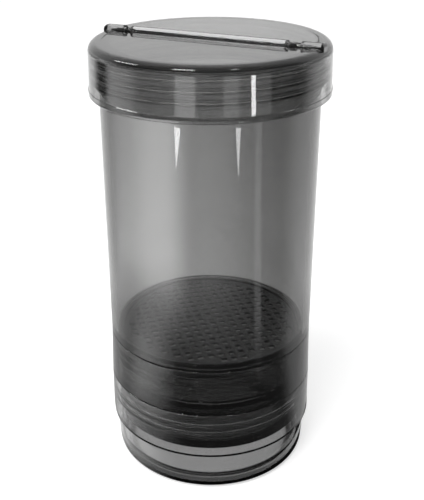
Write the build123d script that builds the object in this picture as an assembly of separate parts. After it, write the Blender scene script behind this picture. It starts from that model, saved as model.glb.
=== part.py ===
from build123d import *
import os
from math import hypot

# Cricket shaker: a tall clear chamber with a screw lid on top and two screw-on powder cups
# below it. The lid has a half-moon flap on a hinge bar, and a sieve stands at the foot of the
# chamber. All lengths are in millimetres, +Z is up, and the origin is the centre of the face
# that the lower cup stands on.

# Screw joints: a neck on the upper piece hangs into the bore of the piece below it
bore_r = 39.0
screw_gap = 1.1
seam_edge_r = 0.5
web_t = 2.2

# Lower cup: a foot below, a wider wall above it, open at the top
lower_cup_h = 36.5
foot_h = 16.9
foot_step = 1.1
foot_draft = 1.2
foot_edge_r = 3.2
foot_wall = 2.2
floor_t = 2.4
floor_corner_r = 7.0
shelf_rise = 0.2
shelf_drop = 1.3
skirt_low_wall = 2.4
skirt_high_wall = 2.2
skirt_edge_r = 0.6

# Upper cup: its wall carries the chamber, its neck is closed by a floor
upper_cup_h = 19.3
upper_wall = 1.6
upper_neck_len = 17.1
upper_neck_wall = 2.3
upper_floor_t = 2.0
upper_corner_r = 2.0

# Chamber
tube_h = 112.0
tube_flare = 0.2
tube_low_wall = 2.5
tube_high_wall = 3.7
tube_neck_len = 15.5
tube_neck_wall = 2.9

# Sieve: a round plate with square holes and a raised rim
sieve_ledge = 1.5
sieve_t = 1.0
sieve_rim_h = 0.9
sieve_rim_w = 1.3
sieve_seat_lift = 0.1
sieve_gap = 0.25
mesh_pitch = 4.0
mesh_hole = 2.0
mesh_turn = 16.5
mesh_border = 1.6
gate_r = 1.5
gate_h = 0.3

# Lid: a deep skirt round the chamber's mouth, under a plate
lid_screw_gap = 1.8
lid_wall = 1.9
lid_draft = 0.6
lid_skirt_h = 15.2
lid_band_h = 2.2
lid_band_step = 0.2
lid_plate_up = 1.4
lid_plate_t = 1.9
lid_recess = 0.2
lid_shoulder_r = 3.2
lid_rim_w = 5.0
lid_seat_w = 0.4
lid_groove_h = 1.2

# Flap and its hinge bar
bar_turn = -25.0
barrel_r = 2.1
barrel_gap = 0.3
barrel_end_gap = 2.8
block_back = 0.7
block_len = 8.4
block_edge_r = 1.6
pin_r = 0.9
pin_gap = 0.07
pin_depth = 3.4
pin_end_gap = 0.5
collar_r = 1.6
collar_w = 2.3
collar_gap = 0.9
collar_end_gap = 2.0
flap_rim_w = 5.5
flap_t = 2.2
flap_rise = 0.6
flap_gap = 0.3
flap_edge_r = 0.5
flap_cheek_gap = 1.1
ledge_w = 2.3

# Heights that follow
seam_b_z = lower_cup_h
seam_a_z = seam_b_z + upper_cup_h
tube_top_z = seam_a_z + tube_h
sieve_seat_z = seam_a_z + sieve_seat_lift
plate_low_z = tube_top_z + lid_plate_up
plate_z = plate_low_z + lid_plate_t
rim_z = plate_z + lid_recess
lid_low_z = tube_top_z - lid_skirt_h
hinge_z = plate_z
flap_top_z = plate_z + flap_rise
flap_low_z = flap_top_z - flap_t

# Radii that follow, from the bore outwards and inwards
neck_r = bore_r - screw_gap
seam_b_r = bore_r + skirt_high_wall
seam_a_r = bore_r + upper_wall
skirt_low_r = bore_r + skirt_low_wall
foot_high_r = skirt_low_r - foot_step
foot_low_r = foot_high_r - foot_draft
tube_top_r = seam_a_r + tube_flare
tube_bore_low_r = seam_a_r - tube_low_wall
tube_bore_high_r = tube_top_r - tube_high_wall
tube_neck_bore_r = neck_r - tube_neck_wall
sieve_r = tube_neck_bore_r + sieve_ledge
lid_bore_r = tube_top_r + lid_screw_gap
lid_low_r = lid_bore_r + lid_wall
lid_high_r = lid_low_r - lid_draft
lid_rim_edge_r = lid_high_r - lid_rim_w
flap_r = lid_high_r - flap_rim_w
land_r = flap_r + flap_gap - ledge_w
wide = 2 * lid_low_r

# Places along the hinge bar that follow
block_out_r = lid_high_r - block_back
block_in = block_out_r - block_len
barrel_left = block_in - barrel_end_gap
collar_end = block_in - collar_end_gap
barrel_right = collar_end - collar_w - collar_gap
flap_cheek = barrel_r + flap_cheek_gap


def turned(corners):
    """A solid turned about Z from (radius, height, rounding) corners, listed in order."""
    outline = Polyline(*[(r, 0, z) for r, z, _ in corners], close=True)
    face = make_face(outline)
    for r, z, rounding in corners:
        if rounding:
            corner = face.vertices().sort_by_distance((r, 0, z))[0]
            face = fillet(corner, rounding)
    return revolve(face, Axis.Z)


def on_bar(shape):
    """Turns a shape made with the hinge bar along X into the bar's real direction."""
    return Rot(0, 0, bar_turn) * shape


def rod(radius, start, end):
    """A round rod along the hinge line, from one place on it to another."""
    middle = (start + end) / 2
    return Pos(middle, 0, hinge_z) * Rot(0, 90, 0) * Cylinder(radius, end - start)


def slab(x0, x1, y0, y1, z0, z1):
    """A box between two corners."""
    box = Box(x1 - x0, y1 - y0, z1 - z0)
    return Pos((x0 + x1) / 2, (y0 + y1) / 2, (z0 + z1) / 2) * box


def disc(radius, low, high):
    """A round plate on the axis between two heights."""
    return Pos(0, 0, (low + high) / 2) * Cylinder(radius, high - low)


def make_lower_cup():
    """The cup that the shaker stands on, with its wider band above the foot."""
    outer = [
        (0, 0, 0),
        (foot_low_r, 0, foot_edge_r),
        (foot_high_r, foot_h, 0),
        (skirt_low_r, foot_h, skirt_edge_r),
        (seam_b_r, seam_b_z, seam_edge_r),
    ]
    inner = [
        (bore_r, seam_b_z, 0),
        (bore_r, foot_h + shelf_rise, 0),
        (foot_high_r - foot_wall, foot_h - shelf_drop, 0),
        (foot_low_r - foot_wall, floor_t, floor_corner_r),
        (0, floor_t, 0),
    ]
    return turned(outer + inner)


def make_upper_cup():
    """The middle cup: a wall that the chamber screws into, over a closed neck."""
    neck_in = neck_r - upper_neck_wall
    bottom_z = seam_b_z - upper_neck_len
    outer = [
        (0, bottom_z, 0),
        (neck_r, bottom_z, seam_edge_r),
        (neck_r, seam_b_z, 0),
        (seam_b_r, seam_b_z, seam_edge_r),
        (seam_a_r, seam_a_z, seam_edge_r),
    ]
    inner = [
        (bore_r, seam_a_z, 0),
        (bore_r, seam_b_z + web_t, 0),
        (neck_in, seam_b_z + web_t, seam_edge_r),
        (neck_in, bottom_z + upper_floor_t, upper_corner_r),
        (0, bottom_z + upper_floor_t, 0),
    ]
    return turned(outer + inner)


def make_main_tube():
    """The chamber: open at the top, with a seat for the sieve inside its lower neck."""
    seat_r = sieve_r + sieve_gap
    bottom_z = seam_a_z - tube_neck_len
    return turned([
        (tube_neck_bore_r, bottom_z, 0),
        (neck_r, bottom_z, seam_edge_r),
        (neck_r, seam_a_z, 0),
        (seam_a_r, seam_a_z, seam_edge_r),
        (tube_top_r, tube_top_z, seam_edge_r),
        (tube_bore_high_r, tube_top_z, seam_edge_r),
        (tube_bore_low_r, seam_a_z + web_t, 0),
        (seat_r, seam_a_z + web_t, seam_edge_r),
        (seat_r, sieve_seat_z, 0),
        (tube_neck_bore_r, sieve_seat_z, 0),
    ])


def mesh_places():
    """Centres of the sieve's holes: a square lattice, clear of the rim and of the centre."""
    reach = sieve_r - sieve_rim_w - mesh_border - mesh_hole / 2
    count = int(reach / mesh_pitch) + 1
    places = []
    for i in range(-count, count + 1):
        for j in range(-count, count + 1):
            distance = mesh_pitch * hypot(i, j)
            if gate_r + mesh_hole < distance < reach:
                places.append((i * mesh_pitch, j * mesh_pitch))
    return places


def make_sieve():
    """The sieve: a flat net with a raised rim and the low stub that moulding leaves."""
    top_z = sieve_seat_z + sieve_t
    turn = Rot(0, 0, mesh_turn)
    holes = [turn * Pos(x, y) * Rectangle(mesh_hole, mesh_hole) for x, y in mesh_places()]
    net = extrude(Circle(sieve_r) - holes, sieve_t)
    rim = Circle(sieve_r) - Circle(sieve_r - sieve_rim_w)
    sieve = Pos(0, 0, sieve_seat_z) * net
    sieve += Pos(0, 0, top_z) * extrude(rim, sieve_rim_h)
    sieve += disc(gate_r, top_z, top_z + gate_h)
    return sieve


def make_lid_shell():
    """The lid before its openings: skirt, rounded shoulder, land on the chamber and plate."""
    band_z = lid_low_z + lid_band_h
    seat_r = tube_top_r + lid_seat_w
    return turned([
        (0, plate_low_z, 0),
        (land_r, plate_low_z, 0),
        (land_r, tube_top_z, 0),
        (seat_r, tube_top_z, 0),
        (seat_r, tube_top_z + lid_groove_h, 0),
        (lid_bore_r, tube_top_z + lid_groove_h, 0),
        (lid_bore_r, lid_low_z, 0),
        (lid_low_r, lid_low_z, seam_edge_r),
        (lid_low_r, band_z, 0),
        (lid_low_r - lid_band_step, band_z + lid_band_step, 0),
        (lid_high_r, rim_z, lid_shoulder_r),
        (lid_rim_edge_r, rim_z, 0),
        (lid_rim_edge_r, plate_z, 0),
        (0, plate_z, 0),
    ])


def make_end_blocks():
    """The two fixed ends of the hinge bar, which round over the lid's shoulder."""
    top_z = hinge_z + barrel_r
    hood = turned([
        (block_in - barrel_r, plate_low_z, 0),
        (block_out_r, plate_low_z, 0),
        (block_out_r, top_z, block_edge_r),
        (block_in - barrel_r, top_z, 0),
    ])
    blocks = []
    for side in (-1, 1):
        near, far = sorted((side * block_in, side * wide))
        bar = rod(barrel_r, near, far)
        bar &= slab(near, far, -barrel_r, barrel_r, hinge_z, top_z)
        bar += slab(near, far, -barrel_r, barrel_r, plate_low_z, hinge_z)
        blocks.append(hood & bar)
    return blocks


def make_lid():
    """The lid with its mouth, the flap's ledge, the hinge slot and the end blocks."""
    slot = barrel_r + barrel_gap
    cheek = flap_cheek - flap_gap
    lid = make_lid_shell()
    seat = disc(flap_r + flap_gap, flap_low_z, rim_z)
    lid -= seat & slab(-wide, wide, cheek, wide, flap_low_z, rim_z)
    mouth = disc(land_r, tube_top_z, rim_z)
    lid -= mouth & slab(-wide, wide, cheek, wide, tube_top_z, rim_z)
    lid -= slab(-block_in, block_in, -slot, flap_cheek, tube_top_z, rim_z)
    for block in make_end_blocks():
        lid += block
    for side in (-1, 1):
        near, far = sorted((side * block_in, side * (block_in + pin_depth + pin_end_gap)))
        lid -= rod(pin_r + pin_gap, near, far)
    return on_bar(lid)


def make_flap():
    """The half-moon flap with its round barrel, two pins and the collar on one pin."""
    plate = disc(flap_r, flap_low_z, flap_top_z)
    plate &= slab(-wide, wide, flap_cheek, wide, flap_low_z, flap_top_z)
    rim = plate.edges().filter_by(GeomType.CIRCLE).sort_by(Axis.Z)[-1]
    plate = fillet(rim, flap_edge_r)
    root = slab(-barrel_left, barrel_right, 0, flap_cheek, flap_low_z, flap_top_z)
    barrel = rod(barrel_r, -barrel_left, barrel_right)
    pin = rod(pin_r, -block_in - pin_depth, block_in + pin_depth)
    collar = rod(collar_r, collar_end - collar_w, collar_end)
    return on_bar(plate + root + barrel + pin + collar)


parts = {
    "lower_cup": make_lower_cup(),
    "upper_cup": make_upper_cup(),
    "main_tube": make_main_tube(),
    "sieve": make_sieve(),
    "lid": make_lid(),
    "flap": make_flap(),
}

os.makedirs("parts", exist_ok=True)
for name, shape in parts.items():
    export_step(shape, os.path.join("parts", name + ".step"))
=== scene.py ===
from math import atan2, cos, degrees, hypot, radians, sin, tan, tau

import bmesh
import bpy
from mathutils import Matrix, Vector


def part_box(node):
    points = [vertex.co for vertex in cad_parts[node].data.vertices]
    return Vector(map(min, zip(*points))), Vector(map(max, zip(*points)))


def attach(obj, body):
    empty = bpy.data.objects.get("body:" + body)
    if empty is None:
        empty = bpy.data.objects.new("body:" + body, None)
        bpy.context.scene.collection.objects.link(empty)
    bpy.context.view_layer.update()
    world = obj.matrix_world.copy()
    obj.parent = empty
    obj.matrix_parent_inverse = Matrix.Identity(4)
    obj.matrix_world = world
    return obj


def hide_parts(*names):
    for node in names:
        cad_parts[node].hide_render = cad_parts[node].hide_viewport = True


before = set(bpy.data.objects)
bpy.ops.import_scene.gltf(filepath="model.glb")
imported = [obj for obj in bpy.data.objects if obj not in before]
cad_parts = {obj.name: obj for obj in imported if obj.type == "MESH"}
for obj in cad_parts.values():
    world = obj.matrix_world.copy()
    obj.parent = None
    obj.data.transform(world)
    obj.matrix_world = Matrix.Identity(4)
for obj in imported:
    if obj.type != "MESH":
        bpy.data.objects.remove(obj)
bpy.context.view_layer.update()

# Sizes are in millimetres, as in the solids, and become metres when a mesh is made.
MM = 0.001


def low_z(node):
    """The height of a node's lowest point, in millimetres."""
    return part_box(node)[0].z / MM


def high_z(node):
    """The height of a node's highest point, in millimetres."""
    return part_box(node)[1].z / MM


def radius_of(node):
    """Half the width of a round node, in millimetres."""
    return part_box(node)[1].x / MM


# Heights and radii that the frame gives
SEAM_B_Z = high_z("lower_cup")
SEAM_A_Z = high_z("upper_cup")
TUBE_TOP_Z = high_z("main_tube")
TUBE_LOW_Z = low_z("main_tube")
UPPER_LOW_Z = low_z("upper_cup")
LID_LOW_Z = low_z("lid")
BARREL_TOP_Z = high_z("lid")
SIEVE_LOW_Z = low_z("sieve")
SKIRT_LOW_R = radius_of("lower_cup")
TUBE_TOP_R = radius_of("main_tube")
LID_LOW_R = radius_of("lid")
SIEVE_R = radius_of("sieve")

# Walls, gaps and roundings. They are as in the solids, but for the finest roundings, the net's
# holes, the hollow of the hinge bar and the flap's root.
AIR = 0.05
BORE_R = 39.0
NECK_R = 37.9
SEAM_B_R = 41.2
SEAM_A_R = 40.6
WEB_T = 2.2
EDGE_R = 0.5
FINE_EDGE_R = 0.2
STEP_EDGE_R = 0.08
FOOT_H = 16.9
FOOT_LOW_R = 39.1
FOOT_HIGH_R = 40.3
FOOT_EDGE_R = 3.2
FOOT_WALL = 2.2
FLOOR_T = 2.4
FLOOR_CORNER_R = 7.0
SHELF_RISE = 0.2
SHELF_DROP = 1.3
SKIRT_EDGE_R = 0.6
NECK_WALL = 2.3
UPPER_FLOOR_T = 2.0
UPPER_CORNER_R = 2.0
TUBE_BORE_LOW_R = 38.1
TUBE_BORE_HIGH_R = 37.1
TUBE_NECK_BORE_R = 35.0
SIEVE_GAP = 0.25
SIEVE_T = 1.0
SIEVE_RIM_H = 0.9
SIEVE_RIM_W = 1.3
MESH_PITCH = 4.0
MESH_HOLE = 2.2
MESH_TURN = radians(16.5)
MESH_BORDER = 1.6
MESH_CHAMFER = 0.2
GATE_R = 1.5
GATE_H = 0.3
LID_HIGH_R = 43.9
LID_BORE_R = 42.6
LID_BAND_H = 2.2
LID_BAND_STEP = 0.2
LID_PLATE_UP = 1.4
LID_PLATE_T = 1.9
LID_RECESS = 0.2
LID_SHOULDER_R = 3.2
LID_RIM_EDGE_R = 38.9
LID_SEAT_W = 0.4
LID_GROOVE_H = 1.2
BAR_TURN = radians(-25.0)
BARREL_R = 2.1
BARREL_GAP = 0.3
BARREL_LEFT = 32.0
BARREL_RIGHT = 29.6
BLOCK_IN = 34.8
BLOCK_OUT_R = 43.2
BLOCK_EDGE_R = 1.6
PIN_R = 0.9
PIN_END = 38.2
PIN_HOLE_R = 0.97
PIN_HOLE_DEPTH = 3.9
COLLAR_R = 1.6
COLLAR_START = 30.5
COLLAR_END = 32.8
FLAP_R = 38.4
FLAP_T = 2.2
FLAP_RISE = 0.6
FLAP_GAP = 0.3
FLAP_EDGE_R = 0.5
FLAP_CHEEK = 3.2
ROOT_DOWN = 0.6
SHELL_T = 0.8
SHELL_END = 1.4
LEDGE_W = 2.3

PLATE_LOW_Z = TUBE_TOP_Z + LID_PLATE_UP
PLATE_Z = PLATE_LOW_Z + LID_PLATE_T
RIM_Z = PLATE_Z + LID_RECESS
LAND_R = FLAP_R + FLAP_GAP - LEDGE_W
FLAP_TOP_Z = PLATE_Z + FLAP_RISE
FLAP_LOW_Z = FLAP_TOP_Z - FLAP_T

# Threads: pitch, height of a ridge, width of its crest and of each flank
LID_PITCH = 3.75
LID_TURNS = 3.0
LID_THREAD_Z = 156.6
LID_RIDGE = 1.15
NECK_PITCH = 3.5
NECK_TURNS = 2.0
NECK_THREAD_UP = 3.4
MALE_RIDGE = 0.8
FEMALE_RIDGE = 0.65
CREST_W = 0.8
FLANK_W = 0.65
FADE = radians(35)

# How finely outlines are cut up, how wide cutting shapes are and how far they reach past what
# they cut, which edges stay sharp and how firmly large faces stay flat
SEGMENTS = 192
ROD_SEGMENTS = 96
HOLE_SEGMENTS = 48
ARCH_STEPS = 48
ROW_H = 0.13
ARC_STEPS = 6
ARC_LENGTH = 0.5
WIDE = 2 * LID_LOW_R
SPARE = 1.0
SHARP = radians(32)
FLAT_WEIGHT = 100


def smooth(t):
    """0 below 0, 1 above 1, and an even curve between."""
    t = min(max(t, 0.0), 1.0)
    return t * t * (3 - 2 * t)


class Thread:
    """A right-handed helical ridge. Its height above the wall is positive outwards."""

    def __init__(self, start_z, pitch, turns, height):
        self.start_z, self.pitch, self.turns, self.height = start_z, pitch, turns, height

    def at(self, angle, z):
        """How far the wall stands out at this angle and height."""
        share = angle / tau
        turn = round((z - self.start_z) / self.pitch - share)
        along = angle + turn * tau
        off = abs(z - self.start_z - self.pitch * along / tau)
        ends = smooth(along / FADE) * smooth((self.turns * tau - along) / FADE)
        flank = smooth((CREST_W / 2 + FLANK_W - off) / FLANK_W)
        return self.height * ends * flank

    def covers(self, z):
        """Whether some part of the ridge is near this height."""
        margin = CREST_W / 2 + FLANK_W + ROW_H
        top = self.start_z + self.pitch * self.turns
        return self.start_z - margin < z < top + margin


def outline(corners):
    """Points of a closed outline from (r, z, rounding, thread) corners.

    A rounded corner becomes an arc. A thread belongs to the wall from its corner to the next.
    """
    count = len(corners)
    points = []
    for i, corner in enumerate(corners):
        r, z, rounding = corner[:3]
        here = Vector((r, z))
        before = Vector(corners[i - 1][:2]) - here
        after = Vector(corners[(i + 1) % count][:2]) - here
        if rounding:
            half = before.angle(after) / 2
            reach = rounding / tan(half)
            centre = here + (before.normalized() + after.normalized()).normalized() * rounding / sin(half)
            first = here + before.normalized() * reach - centre
            last = here + after.normalized() * reach - centre
            turn = atan2(first.cross(last), first.dot(last))
            start = atan2(first.y, first.x)
            steps = max(ARC_STEPS, round(rounding * abs(turn) / ARC_LENGTH))
            for k in range(steps + 1):
                a = start + turn * k / steps
                points.append((centre.x + rounding * cos(a), centre.y + rounding * sin(a), None))
        else:
            points.append((r, z, None))
        if len(corner) > 3:
            points.append(("wall", corner[3]))
    return filled(points)


def filled(points):
    """Puts rows of points along each wall that carries a thread."""
    rows = []
    for i, point in enumerate(points):
        if point[0] != "wall":
            rows.append(point)
            continue
        thread = point[1]
        r0, z0, _ = rows[-1]
        r1, z1, _ = points[(i + 1) % len(points)]
        steps = max(1, round(abs(z1 - z0) / ROW_H))
        for k in range(1, steps):
            z = z0 + (z1 - z0) * k / steps
            if thread.covers(z):
                rows.append((r0 + (r1 - r0) * k / steps, z, thread))
    return rows


def mesh_object(name, bm):
    """Makes an object of a mesh, with its normals outwards."""
    bmesh.ops.recalc_face_normals(bm, faces=bm.faces)
    mesh = bpy.data.meshes.new(name)
    bm.to_mesh(mesh)
    bm.free()
    piece = bpy.data.objects.new(name, mesh)
    bpy.context.scene.collection.objects.link(piece)
    return piece


def join_rings(bm, first, second):
    """Faces between two rings with as many points each."""
    for k in range(len(first)):
        bm.faces.new((first[k - 1], first[k], second[k], second[k - 1]))


def applied(piece):
    """Replaces a piece's mesh by what its modifiers make of it."""
    bpy.context.view_layer.update()
    graph = bpy.context.evaluated_depsgraph_get()
    mesh = bpy.data.meshes.new_from_object(piece.evaluated_get(graph))
    piece.modifiers.clear()
    old, piece.data = piece.data, mesh
    bpy.data.meshes.remove(old)
    return piece


def polished(piece):
    """Smooth shading in which large faces stay flat and small roundings carry the turn."""
    piece.data.shade_smooth()
    piece.data.set_sharp_from_angle(angle=SHARP)
    modifier = piece.modifiers.new("normals", "WEIGHTED_NORMAL")
    modifier.weight = FLAT_WEIGHT
    modifier.keep_sharp = True
    return applied(piece)


def lathe(name, corners, segments=SEGMENTS):
    """A solid turned about Z from an outline whose walls may carry threads."""
    bm = bmesh.new()
    rings = []
    for r, z, thread in outline(corners):
        if r == 0:
            rings.append([bm.verts.new((0, 0, z * MM))])
            continue
        ring = []
        for k in range(segments):
            angle = tau * k / segments
            reach = r + (thread.at(angle, z) if thread else 0)
            ring.append(bm.verts.new((reach * cos(angle) * MM, reach * sin(angle) * MM, z * MM)))
        rings.append(ring)
    for i, ring in enumerate(rings):
        other = rings[(i + 1) % len(rings)]
        if len(ring) == 1 and len(other) == 1:
            continue
        for k in range(segments):
            n = (k + 1) % segments
            near = [ring[k % len(ring)], ring[n % len(ring)]]
            far = [other[n % len(other)], other[k % len(other)]]
            bm.faces.new(list(dict.fromkeys(near + far)))
    return mesh_object(name, bm)


def make_lower_cup():
    """The cup that the shaker stands on: slim foot, wider band, female thread."""
    male_z = UPPER_LOW_Z + NECK_THREAD_UP
    thread = Thread(male_z + NECK_PITCH / 2, NECK_PITCH, NECK_TURNS, -FEMALE_RIDGE)
    top = SEAM_B_Z - AIR
    return lathe("lower_cup_shell", [
        (0, 0, 0),
        (FOOT_LOW_R, 0, FOOT_EDGE_R),
        (FOOT_HIGH_R, FOOT_H, FINE_EDGE_R),
        (SKIRT_LOW_R, FOOT_H, SKIRT_EDGE_R),
        (SEAM_B_R, top, EDGE_R),
        (BORE_R, top, FINE_EDGE_R, thread),
        (BORE_R, FOOT_H + SHELF_RISE, FINE_EDGE_R),
        (FOOT_HIGH_R - FOOT_WALL, FOOT_H - SHELF_DROP, FINE_EDGE_R),
        (FOOT_LOW_R - FOOT_WALL, FLOOR_T, FLOOR_CORNER_R),
        (0, FLOOR_T, 0),
    ])


def make_upper_cup():
    """The middle cup: female thread above, closed neck with a male thread below."""
    male = Thread(UPPER_LOW_Z + NECK_THREAD_UP, NECK_PITCH, NECK_TURNS, MALE_RIDGE)
    female_z = TUBE_LOW_Z + NECK_THREAD_UP + NECK_PITCH / 2
    female = Thread(female_z, NECK_PITCH, NECK_TURNS, -FEMALE_RIDGE)
    inside = NECK_R - NECK_WALL
    web_z = SEAM_B_Z + WEB_T
    floor_z = UPPER_LOW_Z + UPPER_FLOOR_T
    top = SEAM_A_Z - AIR
    return lathe("upper_cup_shell", [
        (0, UPPER_LOW_Z, 0),
        (NECK_R, UPPER_LOW_Z, EDGE_R, male),
        (NECK_R, SEAM_B_Z, FINE_EDGE_R),
        (SEAM_B_R, SEAM_B_Z, EDGE_R),
        (SEAM_A_R, top, EDGE_R),
        (BORE_R, top, FINE_EDGE_R, female),
        (BORE_R, web_z, FINE_EDGE_R),
        (inside, web_z, EDGE_R),
        (inside, floor_z, UPPER_CORNER_R),
        (0, floor_z, 0),
    ])


def make_main_tube():
    """The chamber: thread under the lid, plain wall, seat for the sieve, threaded neck."""
    lid_thread = Thread(LID_THREAD_Z - LID_PITCH / 2, LID_PITCH, LID_TURNS, LID_RIDGE)
    neck_thread = Thread(TUBE_LOW_Z + NECK_THREAD_UP, NECK_PITCH, NECK_TURNS, MALE_RIDGE)
    seat_r = SIEVE_R + SIEVE_GAP
    seat_z = SIEVE_LOW_Z - AIR
    web_z = SEAM_A_Z + WEB_T
    top = TUBE_TOP_Z - AIR
    return lathe("main_tube_shell", [
        (TUBE_NECK_BORE_R, TUBE_LOW_Z, FINE_EDGE_R),
        (NECK_R, TUBE_LOW_Z, EDGE_R, neck_thread),
        (NECK_R, SEAM_A_Z, FINE_EDGE_R),
        (SEAM_A_R, SEAM_A_Z, EDGE_R, lid_thread),
        (TUBE_TOP_R, top, EDGE_R),
        (TUBE_BORE_HIGH_R, top, EDGE_R),
        (TUBE_BORE_LOW_R, web_z, EDGE_R),
        (seat_r, web_z, EDGE_R),
        (seat_r, seat_z, FINE_EDGE_R),
        (TUBE_NECK_BORE_R, seat_z, FINE_EDGE_R),
    ])


def make_lid_shell():
    """The lid before its openings: threaded skirt, rounded shoulder, land and plate."""
    thread = Thread(LID_THREAD_Z, LID_PITCH, LID_TURNS, -LID_RIDGE)
    band_z = LID_LOW_Z + LID_BAND_H
    seat_r = TUBE_TOP_R + LID_SEAT_W
    groove_z = TUBE_TOP_Z + LID_GROOVE_H
    return lathe("lid_shell", [
        (0, PLATE_LOW_Z, 0),
        (LAND_R, PLATE_LOW_Z, FINE_EDGE_R),
        (LAND_R, TUBE_TOP_Z, FINE_EDGE_R),
        (seat_r, TUBE_TOP_Z, FINE_EDGE_R),
        (seat_r, groove_z, FINE_EDGE_R),
        (LID_BORE_R, groove_z, FINE_EDGE_R, thread),
        (LID_BORE_R, LID_LOW_Z, FINE_EDGE_R),
        (LID_LOW_R, LID_LOW_Z, EDGE_R),
        (LID_LOW_R, band_z, 0),
        (LID_LOW_R - LID_BAND_STEP, band_z + LID_BAND_STEP, 0),
        (LID_HIGH_R, RIM_Z, LID_SHOULDER_R),
        (LID_RIM_EDGE_R, RIM_Z, STEP_EDGE_R),
        (LID_RIM_EDGE_R, PLATE_Z, STEP_EDGE_R),
        (0, PLATE_Z, 0),
    ])


def box_object(name, low, high):
    """A box between two corners in millimetres, for cutting."""
    bm = bmesh.new()
    bmesh.ops.create_cube(bm, size=1)
    for vert in bm.verts:
        for axis in range(3):
            vert.co[axis] = (low[axis] if vert.co[axis] < 0 else high[axis]) * MM
    return mesh_object(name, bm)


def rod_object(name, corners, segments=ROD_SEGMENTS):
    """A solid turned about the hinge line from (radius, place along it, rounding) corners."""
    rod = lathe(name, corners, segments)
    turn = Matrix.Rotation(radians(90), 4, "Y")
    rod.data.transform(Matrix.Translation((0, 0, PLATE_Z * MM)) @ turn)
    return rod


def arch_object(name, start, end, low, radius):
    """A bar along X with a round back, straight sides and a flat bottom."""
    bm = bmesh.new()
    angles = [tau / 2 * k / ARCH_STEPS for k in range(ARCH_STEPS + 1)]
    profile = [(radius * cos(a), PLATE_Z + radius * sin(a)) for a in angles]
    profile += [(-radius, low), (radius, low)]
    rings = [[bm.verts.new((x * MM, y * MM, z * MM)) for y, z in profile] for x in (start, end)]
    for ring in rings:
        bm.faces.new(ring)
    join_rings(bm, *rings)
    return mesh_object(name, bm)


def combine(piece, other, operation):
    """Cuts, joins or meets piece with other, and deletes other."""
    modifier = piece.modifiers.new("combine", "BOOLEAN")
    modifier.operation = operation
    modifier.solver = "MANIFOLD"
    modifier.object = other
    applied(piece)
    bpy.data.objects.remove(other)
    return piece


def half_disc(name, radius, near_y, low, high):
    """A round plate cut off straight at near_y, on the flap's side."""
    plate = lathe(name, [(0, low, 0), (radius, low, 0), (radius, high, 0), (0, high, 0)])
    half = box_object("half", (-WIDE, near_y, low - SPARE), (WIDE, WIDE, high + SPARE))
    return combine(plate, half, "INTERSECT")


def make_end_block(side):
    """One fixed end of the hinge bar, which rounds over the lid's shoulder."""
    low = FLAP_LOW_Z
    hood = lathe("hood", [
        (BLOCK_IN - BARREL_R, low, 0),
        (BLOCK_OUT_R, low, 0),
        (BLOCK_OUT_R, BARREL_TOP_Z, BLOCK_EDGE_R),
        (BLOCK_IN - BARREL_R, BARREL_TOP_Z, 0),
    ])
    near, far = sorted((side * BLOCK_IN, side * WIDE))
    return combine(hood, arch_object("bar", near, far, low - SPARE, BARREL_R), "INTERSECT")


def make_lid():
    """The lid with its mouth, the flap's ledge, the hinge slot and the end blocks."""
    slot = BARREL_R + BARREL_GAP
    cheek = FLAP_CHEEK - FLAP_GAP
    below = TUBE_TOP_Z - SPARE
    above = BARREL_TOP_Z + SPARE
    hollow_r = BARREL_R - SHELL_T
    lid = make_lid_shell()
    seat = half_disc("seat", FLAP_R + FLAP_GAP, cheek, FLAP_LOW_Z - AIR, above)
    combine(lid, seat, "DIFFERENCE")
    combine(lid, half_disc("mouth", LAND_R + AIR, cheek, below, above), "DIFFERENCE")
    bar_slot = box_object("slot", (-BLOCK_IN, -slot, below), (BLOCK_IN, FLAP_CHEEK, above))
    combine(lid, bar_slot, "DIFFERENCE")
    for side in (-1, 1):
        combine(lid, make_end_block(side), "UNION")
        near, far = sorted((side * (BLOCK_IN + SHELL_T), side * (BLOCK_OUT_R - SHELL_END)))
        combine(lid, arch_object("hollow", near, far, PLATE_Z - hollow_r, hollow_r), "DIFFERENCE")
        near, far = sorted((side * (BLOCK_IN - SPARE), side * (BLOCK_IN + PIN_HOLE_DEPTH)))
        hole = [(0, near, 0), (PIN_HOLE_R, near, 0), (PIN_HOLE_R, far, 0), (0, far, 0)]
        combine(lid, rod_object("hole", hole, HOLE_SEGMENTS), "DIFFERENCE")
    lid.data.transform(Matrix.Rotation(BAR_TURN, 4, "Z"))
    return lid


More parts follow.
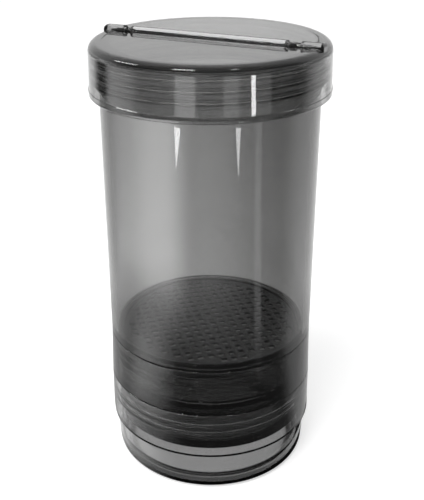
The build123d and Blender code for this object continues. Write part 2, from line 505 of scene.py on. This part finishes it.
def make_flap():
    """The half-moon flap with its root, hollow barrel, two pins and the collar on one pin."""
    below = FLAP_LOW_Z - SPARE
    above = FLAP_TOP_Z + SPARE
    flap = lathe("flap_moulding", [
        (0, FLAP_LOW_Z, 0),
        (FLAP_R, FLAP_LOW_Z, FINE_EDGE_R),
        (FLAP_R, FLAP_TOP_Z, FLAP_EDGE_R),
        (0, FLAP_TOP_Z, 0),
    ])
    cuts = {
        "front": ((-WIDE, -WIDE, below), (WIDE, 0, above)),
        "left": ((-WIDE, -SPARE, below), (-BARREL_LEFT, FLAP_CHEEK, above)),
        "right": ((BARREL_RIGHT, -SPARE, below), (WIDE, FLAP_CHEEK, above)),
        "over_root": ((-WIDE, -SPARE, PLATE_Z - ROOT_DOWN), (WIDE, FLAP_CHEEK, above)),
    }
    for name, (low, high) in cuts.items():
        combine(flap, box_object(name, low, high), "DIFFERENCE")
    bar = rod_object("bar", [
        (0, -PIN_END, 0),
        (PIN_R, -PIN_END, FINE_EDGE_R),
        (PIN_R, -BARREL_LEFT, FINE_EDGE_R),
        (BARREL_R, -BARREL_LEFT, FINE_EDGE_R),
        (BARREL_R, BARREL_RIGHT, FINE_EDGE_R),
        (PIN_R, BARREL_RIGHT, FINE_EDGE_R),
        (PIN_R, COLLAR_START, FINE_EDGE_R),
        (COLLAR_R, COLLAR_START, FINE_EDGE_R),
        (COLLAR_R, COLLAR_END, FINE_EDGE_R),
        (PIN_R, COLLAR_END, FINE_EDGE_R),
        (PIN_R, PIN_END, FINE_EDGE_R),
        (0, PIN_END, 0),
    ])
    combine(flap, bar, "UNION")
    near, far = SHELL_T - BARREL_LEFT, BARREL_RIGHT - SHELL_T
    combine(flap, arch_object("hollow", near, far, below, BARREL_R - SHELL_T), "DIFFERENCE")
    flap.data.transform(Matrix.Rotation(BAR_TURN, 4, "Z"))
    return flap


def hole_places():
    """Centres of the sieve's holes: a square lattice, clear of the rim and of the centre."""
    reach = SIEVE_R - SIEVE_RIM_W - MESH_BORDER - MESH_HOLE / 2
    count = int(reach / MESH_PITCH) + 1
    steps = range(-count, count + 1)
    places = [(i * MESH_PITCH, j * MESH_PITCH) for i in steps for j in steps]
    return [at for at in places if GATE_R + MESH_HOLE < hypot(*at) < reach]


def make_sieve():
    """The sieve: a net of square holes with chamfered edges, a raised rim and a low stub."""
    top = SIEVE_LOW_Z + SIEVE_T
    rim = top + SIEVE_RIM_H
    inside = SIEVE_R - SIEVE_RIM_W
    sieve = lathe("sieve_net", [
        (0, SIEVE_LOW_Z, 0),
        (SIEVE_R, SIEVE_LOW_Z, FINE_EDGE_R),
        (SIEVE_R, rim, FINE_EDGE_R),
        (inside, rim, FINE_EDGE_R),
        (inside, top, FINE_EDGE_R),
        (GATE_R, top, STEP_EDGE_R),
        (GATE_R, top + GATE_H, STEP_EDGE_R),
        (0, top + GATE_H, 0),
    ])
    half = MESH_HOLE / 2
    over = GATE_H / 2
    levels = [
        (SIEVE_LOW_Z - SPARE, half),
        (top - MESH_CHAMFER, half),
        (top + over, half + MESH_CHAMFER + over),
    ]
    bm = bmesh.new()
    for x, y in hole_places():
        rings = []
        for z, reach in levels:
            around = [(-reach, -reach), (reach, -reach), (reach, reach), (-reach, reach)]
            rings.append([bm.verts.new(((x + a) * MM, (y + b) * MM, z * MM)) for a, b in around])
        bm.faces.new(rings[0])
        bm.faces.new(rings[-1])
        for low, high in zip(rings, rings[1:]):
            join_rings(bm, low, high)
    holes = mesh_object("holes", bm)
    holes.data.transform(Matrix.Rotation(MESH_TURN, 4, "Z"))
    return combine(sieve, holes, "DIFFERENCE")


def new_material(name):
    """A material with nothing in its node tree but an output."""
    material = bpy.data.materials.new(name)
    material.use_nodes = True
    tree = material.node_tree
    tree.nodes.clear()
    return material, tree, tree.nodes.new("ShaderNodeOutputMaterial")


def feed(tree, socket, value):
    """Links a socket to another one, or sets it to a plain value."""
    if isinstance(value, bpy.types.NodeSocket):
        tree.links.new(value, socket)
    else:
        socket.default_value = value


def math_node(tree, operation, first, second, third=0.0):
    """One step of arithmetic; each side is a socket or a number."""
    node = tree.nodes.new("ShaderNodeMath")
    node.operation = operation
    for socket, value in zip(node.inputs, (first, second, third)):
        feed(tree, socket, value)
    return node.outputs["Value"]


def blended(tree, share, low, high):
    """low where share is 0, high where it is 1; each is a socket or a number."""
    node = tree.nodes.new("ShaderNodeMapRange")
    feed(tree, node.inputs["Value"], share)
    feed(tree, node.inputs["To Min"], low)
    feed(tree, node.inputs["To Max"], high)
    return node.outputs["Result"]


def mixed(tree, share, first, second):
    """The first colour where share is 0, the second where it is 1."""
    node = tree.nodes.new("ShaderNodeMix")
    node.data_type = "RGBA"
    feed(tree, node.inputs["Factor"], share)
    feed(tree, node.inputs["A"], first)
    feed(tree, node.inputs["B"], second)
    return node.outputs["Result"]


def noise(tree, scale, detail):
    """Fine noise that keeps its place on the piece; its scale is per metre."""
    node = tree.nodes.new("ShaderNodeTexNoise")
    feed(tree, node.inputs["Scale"], scale)
    feed(tree, node.inputs["Detail"], detail)
    place = tree.nodes.new("ShaderNodeTexCoord").outputs["Object"]
    feed(tree, node.inputs["Vector"], place)
    return node.outputs["Fac"]


def bumped(tree, height, strength, distance):
    """Normals that follow a height; the distance is in metres."""
    node = tree.nodes.new("ShaderNodeBump")
    feed(tree, node.inputs["Strength"], strength)
    feed(tree, node.inputs["Distance"], distance)
    feed(tree, node.inputs["Height"], height)
    return node.outputs["Normal"]


# Plastics: colours, ranges of roughness, and how strongly the clear ones absorb, per metre.
# The net's faces go from its side colour to its top colours as they turn up: the near-black sides
# are painted shade down the holes, the paler tops painted light; the grain in the tops is the plastic's
# own.
IOR = 1.5
CLEAR_COLOURS = (0.97, 0.97, 0.975, 1), (0.93, 0.93, 0.935, 1)
CLEAR_ROUGHNESS = (0.008, 0.03)
SMOKE_TINT = (0.10, 0.10, 0.09, 1)
TUBE_DENSITY = 325
# The two cups are one plastic, as are the lid and the flap, yet each pair absorbs unequally: the upper
# cup and the lid are made darker, the lower cup and the flap lighter, as painted shade and light.
LOWER_CUP_DENSITY = 160
UPPER_CUP_DENSITY = 520
LID_DENSITY = 420
FLAP_DENSITY = 160
NET_COLOURS = (0.10, 0.10, 0.102, 1), (0.15, 0.15, 0.153, 1)
# Painted shade: the colour of the sides of the net's holes
NET_PAINTED_SIDE_SHADE = (0.008, 0.008, 0.008, 1)
NET_ROUGHNESS = (0.14, 0.24)
NET_CLEARNESS = 0.1
NET_UPWARD = (0.5, 0.95)


def smoke_plastic(name, density):
    """Clear grey moulded plastic: absorbs with depth, with faint flow waves and haze."""
    material, tree, output = new_material(name)
    waves = noise(tree, scale=140, detail=1.5)
    haze = noise(tree, scale=420, detail=4)
    shader = tree.nodes.new("ShaderNodeBsdfPrincipled")
    shader.inputs["Transmission Weight"].default_value = 1
    shader.inputs["IOR"].default_value = IOR
    feed(tree, shader.inputs["Base Color"], mixed(tree, haze, *CLEAR_COLOURS))
    feed(tree, shader.inputs["Roughness"], blended(tree, haze, *CLEAR_ROUGHNESS))
    feed(tree, shader.inputs["Normal"], bumped(tree, waves, strength=0.12, distance=0.00002))
    inside = tree.nodes.new("ShaderNodeVolumeAbsorption")
    inside.inputs["Color"].default_value = SMOKE_TINT
    inside.inputs["Density"].default_value = density
    feed(tree, output.inputs["Surface"], shader.outputs["BSDF"])
    feed(tree, output.inputs["Volume"], inside.outputs["Volume"])
    return material


def satin_plastic(name):
    """Dark grey moulded plastic, satin, with painted light and shade: paler on top and darker down the
    sides of holes, by the way each face turns.
    """
    material, tree, output = new_material(name)
    grain = noise(tree, scale=900, detail=3)
    parts = tree.nodes.new("ShaderNodeSeparateXYZ")
    feed(tree, parts.inputs["Vector"], tree.nodes.new("ShaderNodeNewGeometry").outputs["Normal"])
    # Painted light and shade: paler as a face turns up, darker as it turns to the side
    painted_light_share = tree.nodes.new("ShaderNodeMapRange")
    feed(tree, painted_light_share.inputs["Value"], parts.outputs["Z"])
    painted_light_share.inputs["From Min"].default_value = NET_UPWARD[0]
    painted_light_share.inputs["From Max"].default_value = NET_UPWARD[1]
    top_colour = mixed(tree, grain, *NET_COLOURS)
    colour = mixed(tree, painted_light_share.outputs["Result"], NET_PAINTED_SIDE_SHADE, top_colour)
    shader = tree.nodes.new("ShaderNodeBsdfPrincipled")
    shader.inputs["IOR"].default_value = IOR
    shader.inputs["Transmission Weight"].default_value = NET_CLEARNESS
    feed(tree, shader.inputs["Base Color"], colour)
    feed(tree, shader.inputs["Roughness"], blended(tree, grain, *NET_ROUGHNESS))
    feed(tree, shader.inputs["Normal"], bumped(tree, grain, strength=0.2, distance=0.00003))
    feed(tree, output.inputs["Surface"], shader.outputs["BSDF"])
    return material


def dress(piece, material):
    """Gives a piece its one material."""
    piece.data.materials.clear()
    piece.data.materials.append(material)


tube_plastic = smoke_plastic("tube_smoke", TUBE_DENSITY)
lower_cup_plastic = smoke_plastic("lower_cup_smoke", LOWER_CUP_DENSITY)
upper_cup_plastic = smoke_plastic("upper_cup_smoke", UPPER_CUP_DENSITY)
lid_plastic = smoke_plastic("lid_smoke", LID_DENSITY)
flap_plastic = smoke_plastic("flap_smoke", FLAP_DENSITY)
sieve_plastic = satin_plastic("sieve_satin")

# Each node of the frame, with what replaces it: the piece, its body, its plastic and its slot
made = {
    "lower_cup": (make_lower_cup(), "lower_cup", lower_cup_plastic, "cup_plastic"),
    "upper_cup": (make_upper_cup(), "upper_cup", upper_cup_plastic, "cup_plastic"),
    "main_tube": (make_main_tube(), "chamber", tube_plastic, "tube_plastic"),
    "sieve": (make_sieve(), "sieve", sieve_plastic, "sieve_plastic"),
    "lid": (make_lid(), "lid", lid_plastic, "lid_plastic"),
    "flap": (make_flap(), "flap", flap_plastic, "lid_plastic"),
}
for node, (piece, body, material, slot_name) in made.items():
    dress(polished(piece), material)
    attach(piece, body)
    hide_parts(node)


# Studio: radiance 1 is white, and lengths are in millimetres.
# On top of its grey, the floor glows: as the camera sees it, as gloss and glass see it, and as
# they see it under the foot, where the stronger glow is painted light. Between the inner and the
# outer ring they see no glow: a painted contact shadow round the foot.
FLOOR_R = 6000
FLOOR_GREY = 0.75
FLOOR_WHITE = 0.52
FLOOR_GLOW = 0.42
FLOOR_UNDER_PAINTED_GLOW = 0.6
SHADOW_RING_INSIDE = (33, 35)
SHADOW_RING_OUTSIDE = (FOOT_LOW_R + 2, FOOT_LOW_R + 3)
ROUND_STEPS = 96

# Dark cards just over the floor, seen by gloss and glass but not by the camera: painted dark
# reflections, and nearest the foot a painted shadow. Near and far edge from the axis, and first and
# last angle in degrees to the right of the front. They fade out as the angle to the left goes
# through CARD_FADE.
CARD_GREY = 0.03
CARD_UP = 0.6
CARD_STEPS = 32
CARD_FADE = (18, 55)
DARK_CARDS = {
    "card_near": (38.4, 41.8, -75, 117),
    "card_far": (44.3, 130, -60, 117),
}

# The world's strength as a lamp, and as gloss and glass see it on the camera's side, where the
# dimmer sky is a painted dark reflection; on the far side they see white. The change lies between
# two values of Y in the direction of view.
WORLD_LIGHT = 0.55
FRONT_SKY = 0.3
SKY_CHANGE = (-0.1, 0.35)

# The lamp overhead, in metres and watts
LAMP_PLACE = (-0.45, -0.6, 1.2)
LAMP_TARGET = (0, 0, 0.05)
LAMP_SIZE = (0.9, 0.9)
LAMP_POWER = 16

# Soft boxes as gloss sees them, on one glowing sheet that lights nothing: painted reflections,
# dark where no box lies. Radiance; the angles at which each starts, is full from, is full to and
# ends, in degrees to the left of the front; and the same four as distances from the axis.
# Angles past half a turn go on round the back. All share one sheet, from BOX_NEAR to BOX_FAR.
BOX_UP = 0.9
BOX_NEAR = 52
BOX_FAR = 1500
HALF_TURN = 180
SOFT_BOX_REFLECTIONS = {
    "key": (4.9, (15, 45, 62, 125), (135, 255, 526, 530)),
    "fill": (1.8, (-60, 10, 50, 90), (120, 250, 526, 530)),
    "rear": (1.1, (70, 110, 258, 290), (110, 190, 526, 530)),
    "slit": (1.1, (-52, -50, -46, -42), (110, 190, 526, 530)),
    "lid_fill": (0.95, (-57, -53, 92, 112), (576, 586, 1400, 1500)),
    "lid_left": (1.3, (62, 80, 100, 112), (526, 530, 1400, 1500)),
    "lid_rear": (1.3, (118, 135, 250, 275), (526, 530, 1400, 1500)),
    "lid_strip_left": (2.8, (11, 15, 29, 33), (576, 586, 1400, 1500)),
    "lid_strip_right": (1.3, (-27, -23, -13, -10), (576, 586, 1400, 1500)),
    "low_key": (1.7, (28, 60, 64, 92), (52, 120, 130, 200)),
    "low_fill": (0.12, (-180, -179, 179, 180), (52, 54, 110, 190)),
    "low_rear": (0.5, (50, 85, 270, 292), (52, 54, 110, 190)),
}

# Painted highlights: small glowing sheets that only gloss sees and that light nothing. Radiance, height
# and corners
PAINTED_HIGHLIGHT_SHEETS = {
    "wedge_left": (18, 1.2, [(-222, -337), (-292, -421), (-245, -448)]),
    "wedge_right": (10, 1.2, [(175, -345), (210, -466), (251, -446)]),
    "wedge_lid": (18, 1.2, [(527, -730), (601, -718), (422, -501), (388, -528)]),
    "top_left": (26, 1200, [(-490, -530), (-216, -560), (-216, -370), (-490, -340)]),
    "top_right": (15, 1200, [(236, -530), (370, -490), (370, -350), (236, -390)]),
    "top_far_left": (12, 1100, [(-780, 120), (-890, 10), (-1410, 510), (-1300, 620)]),
}


def seen_by(tree, names):
    """1 for the named kinds of ray, 0 for the rest."""
    path = tree.nodes.new("ShaderNodeLightPath")
    total = path.outputs[names[0]]
    for name in names[1:]:
        total = math_node(tree, "MAXIMUM", total, path.outputs[name])
    return total


def make_world():
    """Plain soft studio: white where it is seen, and dimmer as a source of light; gloss and glass see it
    dimmer on the camera's side, a painted dark reflection.
    """
    world = bpy.data.worlds.new("studio")
    world.use_nodes = True
    tree = world.node_tree
    back = tree.nodes["Background"]
    back.inputs["Color"].default_value = (1, 1, 1, 1)
    direction = tree.nodes.new("ShaderNodeTexCoord").outputs["Generated"]
    parts = tree.nodes.new("ShaderNodeSeparateXYZ")
    feed(tree, parts.inputs["Vector"], direction)
    # Painted dark reflection: gloss and glass see the sky dimmer on the camera's side
    sky = blended(tree, ramp(tree, parts.outputs["Y"], *SKY_CHANGE), FRONT_SKY, 1.0)
    mirrored = seen_by(tree, ("Is Glossy Ray", "Is Transmission Ray"))
    dim = blended(tree, mirrored, WORLD_LIGHT, sky)
    total = blended(tree, seen_by(tree, ("Is Camera Ray",)), dim, 1.0)
    feed(tree, back.inputs["Strength"], total)
    bpy.context.scene.world = world


def flat_sheet(name, corners, height):
    """A flat sheet with the given corners in millimetres, face up."""
    bm = bmesh.new()
    bm.faces.new([bm.verts.new((x * MM, y * MM, height * MM)) for x, y in corners])
    return mesh_object(name, bm)


def emission(tree, strength):
    """A glow with the given strength, a socket or a number."""
    glow = tree.nodes.new("ShaderNodeEmission")
    feed(tree, glow.inputs["Strength"], strength)
    return glow.outputs["Emission"]


def staged(sheet, material, in_glass=False):
    """Makes a sheet part of the studio, seen by gloss alone, or by gloss and glass."""
    sheet.data.materials.append(material)
    sheet.visible_camera = False
    sheet.visible_diffuse = False
    sheet.visible_shadow = False
    sheet.visible_transmission = in_glass


def ramp(tree, value, start, end, rising=True):
    """An even curve between 0 and 1 as value goes from start to end."""
    node = tree.nodes.new("ShaderNodeMapRange")
    node.interpolation_type = "SMOOTHSTEP"
    node.inputs["From Min"].default_value = start
    node.inputs["From Max"].default_value = end
    if not rising:
        node.inputs["To Min"].default_value = 1
        node.inputs["To Max"].default_value = 0
    feed(tree, node.inputs["Value"], value)
    return node.outputs["Result"]


def window(tree, value, stops):
    """1 in the middle of four stops, 0 outside them."""
    rise = ramp(tree, value, stops[0], stops[1])
    fall = ramp(tree, value, stops[2], stops[3], rising=False)
    return math_node(tree, "MULTIPLY", rise, fall)


def turned(tree, across, along, offset=0):
    """The angle whose tangent is across over along, in degrees, plus an offset."""
    angle = math_node(tree, "ARCTAN2", across, along)
    return math_node(tree, "MULTIPLY_ADD", angle, degrees(1), offset)


def plan_of(tree):
    """Sockets for X and Y of the place that is shaded."""
    parts = tree.nodes.new("ShaderNodeSeparateXYZ")
    feed(tree, parts.inputs["Vector"], tree.nodes.new("ShaderNodeTexCoord").outputs["Object"])
    return parts.outputs["X"], parts.outputs["Y"]


def angle_from_front(tree):
    """Degrees to the left of the front, from -180 to 180."""
    x, y = plan_of(tree)
    return turned(tree, math_node(tree, "MULTIPLY", x, -1), math_node(tree, "MULTIPLY", y, -1))


def angle_past_back(tree):
    """Degrees to the left of the front, from 0 to 360."""
    x, y = plan_of(tree)
    return turned(tree, x, y, HALF_TURN)


def distance_of(tree):
    """Distance from the object's axis, in millimetres."""
    away = tree.nodes.new("ShaderNodeVectorMath")
    away.operation = "LENGTH"
    feed(tree, away.inputs[0], tree.nodes.new("ShaderNodeTexCoord").outputs["Object"])
    return math_node(tree, "MULTIPLY", away.outputs["Value"], 1 / MM)


def make_dark_cards():
    """Dark cards just over the floor, round the front of the foot, nearest first: painted dark
    reflections and a painted shadow round the foot, seen by gloss and glass only.
    """
    material, tree, output = new_material("dark_card")
    dark = tree.nodes.new("ShaderNodeBsdfDiffuse")
    dark.inputs["Color"].default_value = (CARD_GREY, CARD_GREY, CARD_GREY, 1)
    clear = tree.nodes.new("ShaderNodeBsdfTransparent")
    fade = tree.nodes.new("ShaderNodeMixShader")
    feed(tree, fade.inputs["Fac"], ramp(tree, angle_from_front(tree), *CARD_FADE))
    feed(tree, fade.inputs[1], dark.outputs["BSDF"])
    feed(tree, fade.inputs[2], clear.outputs["BSDF"])
    feed(tree, output.inputs["Surface"], fade.outputs["Shader"])
    for name, (near, far, first, last) in DARK_CARDS.items():
        turn = last - first
        angles = [radians(first + turn * k / CARD_STEPS) for k in range(CARD_STEPS + 1)]
        inner = [(near * sin(a), -near * cos(a)) for a in angles]
        outer = [(far * sin(a), -far * cos(a)) for a in reversed(angles)]
        staged(flat_sheet(name, inner + outer, CARD_UP), material, in_glass=True)


def make_soft_box_reflections():
    """Painted reflections: a glowing ring round the object that gloss alone sees and that lights nothing,
    brighter in some directions than in others and dark between.
    """
    material, tree, output = new_material("soft_boxes")
    from_front = angle_from_front(tree)
    past_back = angle_past_back(tree)
    distance = distance_of(tree)
    total = 0.0
    for radiance, turn, reach in SOFT_BOX_REFLECTIONS.values():
        angle = past_back if turn[-1] > HALF_TURN else from_front
        share = math_node(tree, "MULTIPLY", window(tree, angle, turn), window(tree, distance, reach))
        total = math_node(tree, "MULTIPLY_ADD", share, radiance, total)
    feed(tree, output.inputs["Surface"], emission(tree, total))
    angles = [tau * k / ROUND_STEPS for k in range(ROUND_STEPS)]
    bm = bmesh.new()
    rings = []
    for reach in (BOX_NEAR * MM, BOX_FAR * MM):
        rings.append([bm.verts.new((reach * sin(a), -reach * cos(a), BOX_UP * MM)) for a in angles])
    join_rings(bm, *rings)
    staged(mesh_object("soft_boxes", bm), material)


def make_painted_highlights():
    """Painted highlights: small sheets with an even glow that gloss alone sees."""
    for name, (radiance, height, corners) in PAINTED_HIGHLIGHT_SHEETS.items():
        material, tree, output = new_material(name)
        feed(tree, output.inputs["Surface"], emission(tree, radiance))
        staged(flat_sheet(name, corners, height), material)


def make_floor():
    """A wide pale floor that shows nearly white and keeps a soft shadow; to gloss and glass it also shows
    painted light under the foot and a painted shadow round it.
    """
    bm = bmesh.new()
    bmesh.ops.create_circle(bm, cap_ends=True, segments=ROUND_STEPS, radius=FLOOR_R * MM)
    floor = mesh_object("floor", bm)
    floor.location.z = -AIR * MM
    material, tree, output = new_material("pale_floor")
    diffuse = tree.nodes.new("ShaderNodeBsdfDiffuse")
    diffuse.inputs["Color"].default_value = (FLOOR_GREY, FLOOR_GREY, FLOOR_GREY, 1)
    distance = distance_of(tree)
    # Painted light under the foot and a painted shadow ring round it, for gloss and glass
    under = blended(tree, ramp(tree, distance, *SHADOW_RING_INSIDE), FLOOR_UNDER_PAINTED_GLOW, 0.0)
    clear = blended(tree, ramp(tree, distance, *SHADOW_RING_OUTSIDE), under, FLOOR_GLOW)
    mirrored = seen_by(tree, ("Is Glossy Ray", "Is Transmission Ray"))
    plain = blended(tree, seen_by(tree, ("Is Camera Ray",)), 0.0, FLOOR_WHITE)
    add = tree.nodes.new("ShaderNodeAddShader")
    feed(tree, add.inputs[0], diffuse.outputs["BSDF"])
    feed(tree, add.inputs[1], emission(tree, blended(tree, mirrored, plain, clear)))
    feed(tree, output.inputs["Surface"], add.outputs["Shader"])
    floor.data.materials.append(material)


def make_lamp():
    """One soft lamp overhead, which gloss doesn't see."""
    data = bpy.data.lights.new("overhead", "AREA")
    data.shape = "RECTANGLE"
    data.size, data.size_y = LAMP_SIZE
    data.energy = LAMP_POWER
    lamp = bpy.data.objects.new("overhead", data)
    lamp.location = LAMP_PLACE
    facing = Vector(LAMP_TARGET) - Vector(LAMP_PLACE)
    lamp.rotation_euler = facing.to_track_quat("-Z", "Y").to_euler()
    lamp.visible_camera = False
    lamp.visible_glossy = False
    bpy.context.scene.collection.objects.link(lamp)


# Camera: measured from the photo's circles, in millimetres and degrees
CAMERA_BACK = 313.5
CAMERA_UP = 235.9
CAMERA_YAW = radians(-0.831)
CAMERA_PITCH = radians(25.391)
CAMERA_ROLL = radians(-0.413)
FOCAL_PX = 868.43
CENTRE_PX = (199.03, 250.51)
PHOTO_W, PHOTO_H = 424, 500
SENSOR = 36.0
CLIP_START = 0.01


def make_camera():
    """The photo's viewpoint, as a pinhole camera with a small sideways shift."""
    forward = Vector((
        sin(CAMERA_YAW) * cos(CAMERA_PITCH),
        cos(CAMERA_YAW) * cos(CAMERA_PITCH),
        -sin(CAMERA_PITCH),
    ))
    right = forward.cross(Vector((0, 0, 1))).normalized()
    up = right.cross(forward)
    side = right * cos(CAMERA_ROLL) + up * sin(CAMERA_ROLL)
    top = up * cos(CAMERA_ROLL) - right * sin(CAMERA_ROLL)
    data = bpy.data.cameras.new("camera")
    data.sensor_width = SENSOR
    data.lens = FOCAL_PX * SENSOR / PHOTO_H
    data.shift_x = (PHOTO_W / 2 - CENTRE_PX[0]) / PHOTO_H
    data.shift_y = (CENTRE_PX[1] - PHOTO_H / 2) / PHOTO_H
    data.clip_start = CLIP_START
    camera = bpy.data.objects.new("camera", data)
    axes = Matrix((side, top, -forward)).transposed()
    camera.matrix_world = Matrix.Translation((0, -CAMERA_BACK * MM, CAMERA_UP * MM)) @ axes.to_4x4()
    bpy.context.scene.collection.objects.link(camera)
    bpy.context.scene.camera = camera


# Enough bounces for light to pass through every wall from front to back
BOUNCES = 32
GLOSSY_BOUNCES = 16

make_camera()
make_world()
make_floor()
make_dark_cards()
make_lamp()
make_soft_box_reflections()
make_painted_highlights()

scene = bpy.context.scene
scene.view_settings.view_transform = "Standard"
scene.cycles.max_bounces = BOUNCES
scene.cycles.transmission_bounces = BOUNCES
scene.cycles.glossy_bounces = GLOSSY_BOUNCES
